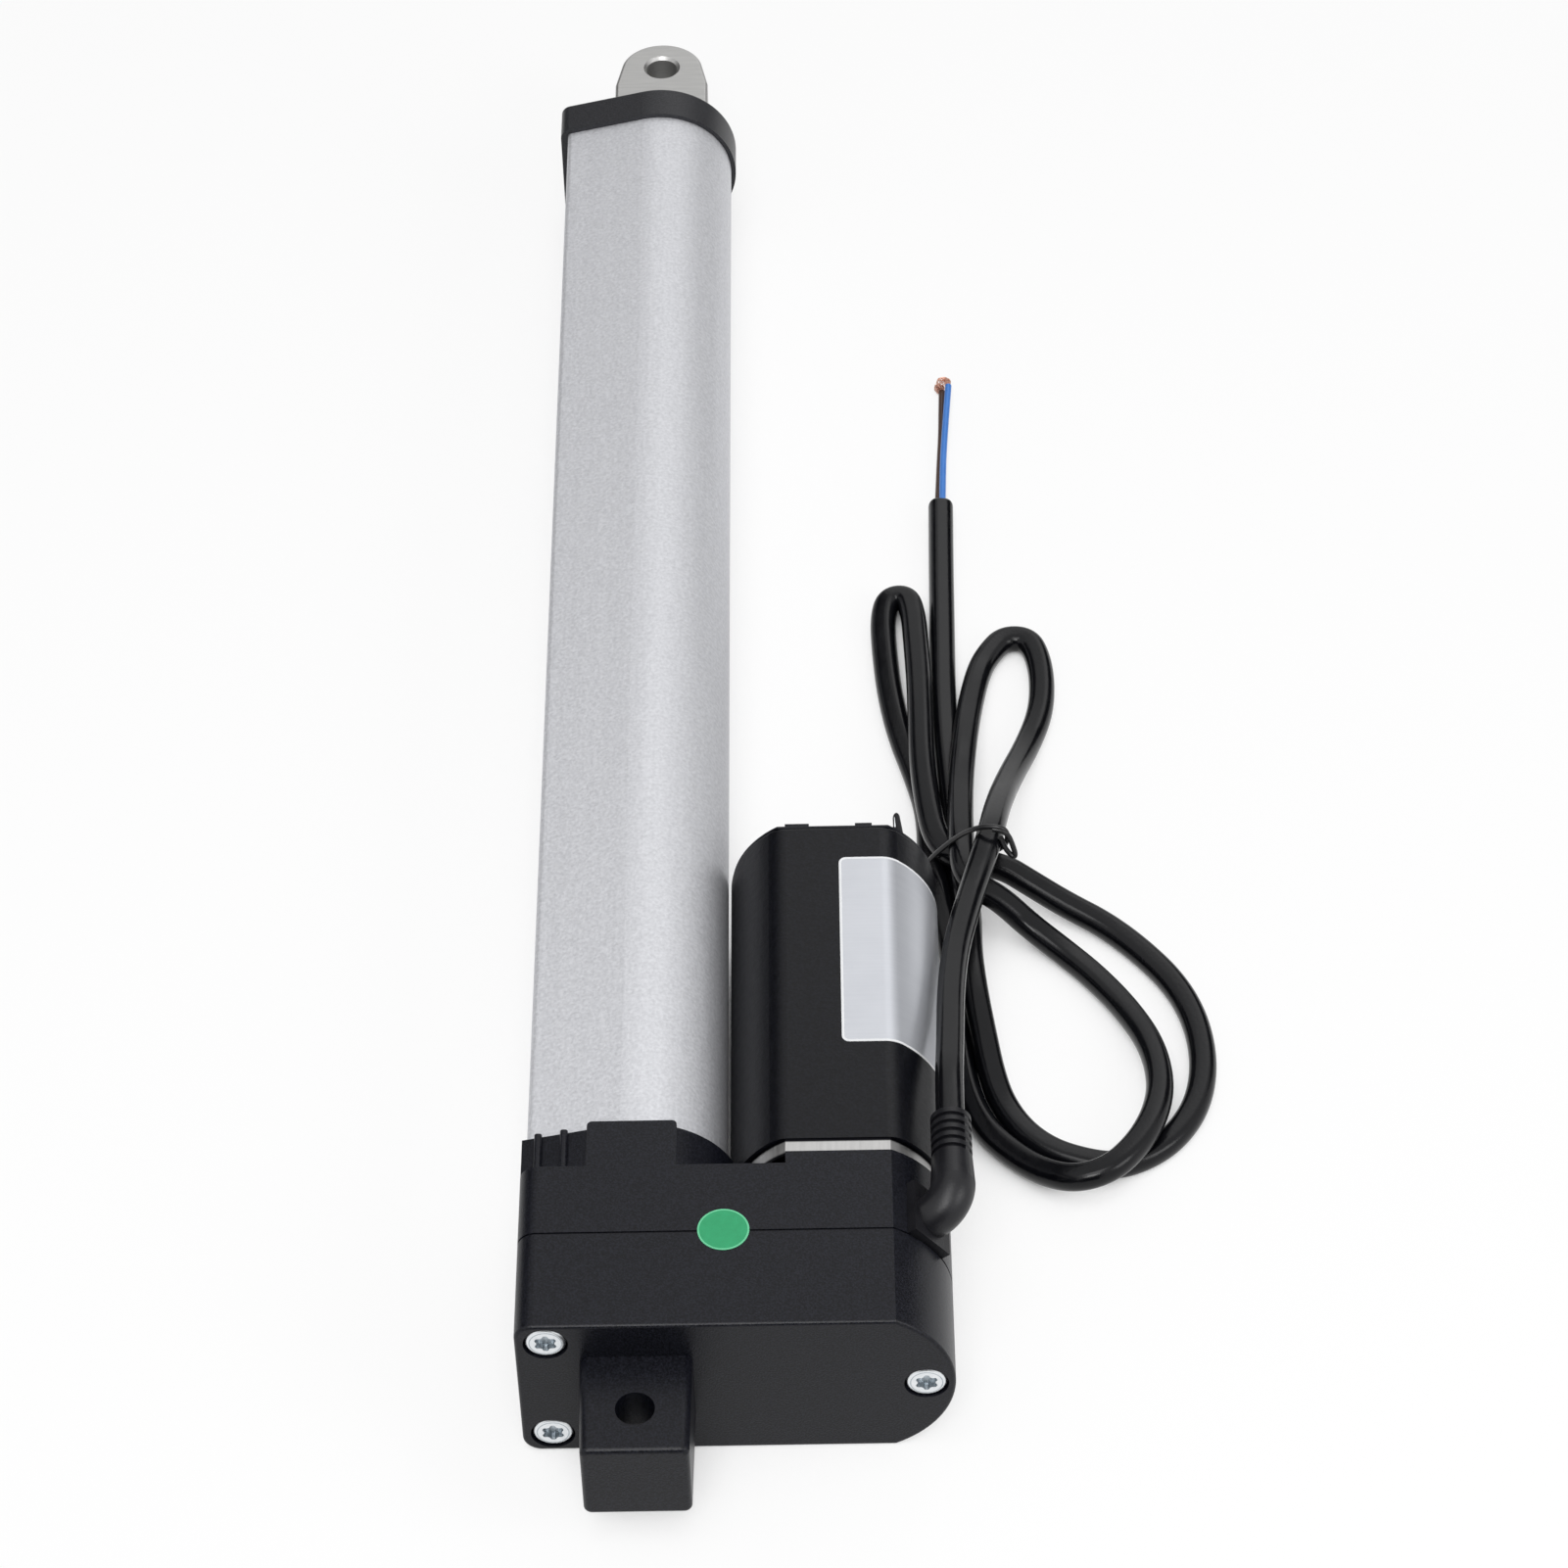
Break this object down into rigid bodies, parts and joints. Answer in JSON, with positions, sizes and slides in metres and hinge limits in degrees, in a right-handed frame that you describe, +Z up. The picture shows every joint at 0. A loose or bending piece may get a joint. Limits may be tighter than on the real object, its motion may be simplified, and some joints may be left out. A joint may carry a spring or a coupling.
{
  "type": "electric linear actuator",
  "caption": "Electric linear actuator: screw-driven push rod in an extruded tube, with a gearbox, a motor beside the tube, a mounting hole at each end and a looped power cord.",
  "frame": {"origin": "centre of the rear mounting hole", "axes": "+Y along the stroke towards the rod end, +X from the rod axis to the motor axis, +Z up along the mounting holes"},
  "size_m": [0.1217, 0.3716, 0.0356],
  "materials": {
    "charcoal_plastic": "fine-textured satin",
    "anodised_tube": "satin anodised",
    "zinc_steel": "zinc plated",
    "bright_steel": "ground",
    "rod_steel": "polished",
    "eye_metal": "satin",
    "motor_black": "satin",
    "black_rubber": "satin",
    "cord_sheath": "glossy",
    "blue_insulation": "glossy",
    "brown_insulation": "glossy",
    "white_acetal": "natural",
    "gear_steel": "oiled",
    "bronze": "sintered",
    "copper": "enamelled",
    "magnet_grey": "sintered",
    "lamination_steel": "stamped",
    "carbon": "pressed",
    "board_green": "solder mask",
    "switch_black": "moulded"
  },
  "bodies": {
    "housing": {"gearbox_rear_cover": "charcoal_plastic", "gearbox_front_housing": "charcoal_plastic", "housing_gasket": "black_rubber", "cover_screws": "zinc_steel", "outer_tube": "anodised_tube", "front_cap": "charcoal_plastic", "cap_screws": "zinc_steel", "rod_guide_bush": "white_acetal", "rod_wiper_seal": "black_rubber", "limit_switch_board": "board_green", "retract_limit_switch": "switch_black", "extend_limit_switch": "switch_black", "bearing_outer_ring": "bright_steel", "bearing_balls": "bright_steel", "bearing_retaining_ring": "bright_steel", "screw_front_bush": "bronze", "idler_axle": "bright_steel", "motor_front_plate": "zinc_steel", "motor_can": "motor_black", "motor_end_cap": "charcoal_plastic", "motor_magnets": "magnet_grey", "motor_front_bush": "bronze", "motor_rear_bush": "bronze", "motor_brushes": "carbon", "motor_terminals": "zinc_steel", "motor_screws": "zinc_steel", "strain_relief": "black_rubber", "power_cord": "cord_sheath", "blue_lead": "blue_insulation", "brown_lead": "brown_insulation", "cord_tie": "cord_sheath"},
    "spindle": {"lead_screw": "bright_steel", "screw_gear": "white_acetal", "screw_retaining_ring": "bright_steel", "bearing_inner_ring": "bright_steel", "screw_end_guide": "white_acetal", "screw_thrust_washer": "bright_steel"},
    "idler": {"idler_gear": "gear_steel"},
    "armature": {"motor_shaft": "bright_steel", "armature_core": "lamination_steel", "armature_winding": "copper", "commutator": "copper", "motor_pinion": "gear_steel"},
    "rod": {"extension_rod": "rod_steel", "drive_nut": "white_acetal", "rod_end_eye": "eye_metal", "rod_pins": "bright_steel"}
  },
  "joints": [
    {"name": "armature_spin", "type": "hinge", "parent": "housing", "child": "armature", "pos_m": [0.0335, 0.085, 0], "axis": [0, -1, 0], "range_deg": [0, 196363.6]},
    {"name": "idler_spin", "type": "hinge", "parent": "housing", "child": "idler", "pos_m": [0.0175, 0.03, 0], "axis": [0, -1, 0], "range_deg": [-65454.53, 0]},
    {"name": "screw_spin", "type": "hinge", "parent": "housing", "child": "spindle", "pos_m": [0, 0.03, 0], "axis": [0, -1, 0], "range_deg": [0, 29999.99]},
    {"name": "rod_slide", "type": "slide", "parent": "housing", "child": "rod", "axis": [0, 1, 0], "range_m": [0, 0.25]}
  ],
  "couplings": [
    {"joint": "idler_spin", "follows": "armature_spin", "ratio": -0.33333},
    {"joint": "screw_spin", "follows": "armature_spin", "ratio": 0.15278},
    {"joint": "rod_slide", "follows": "armature_spin", "m_per_rad": 0.000072946}
  ]
}
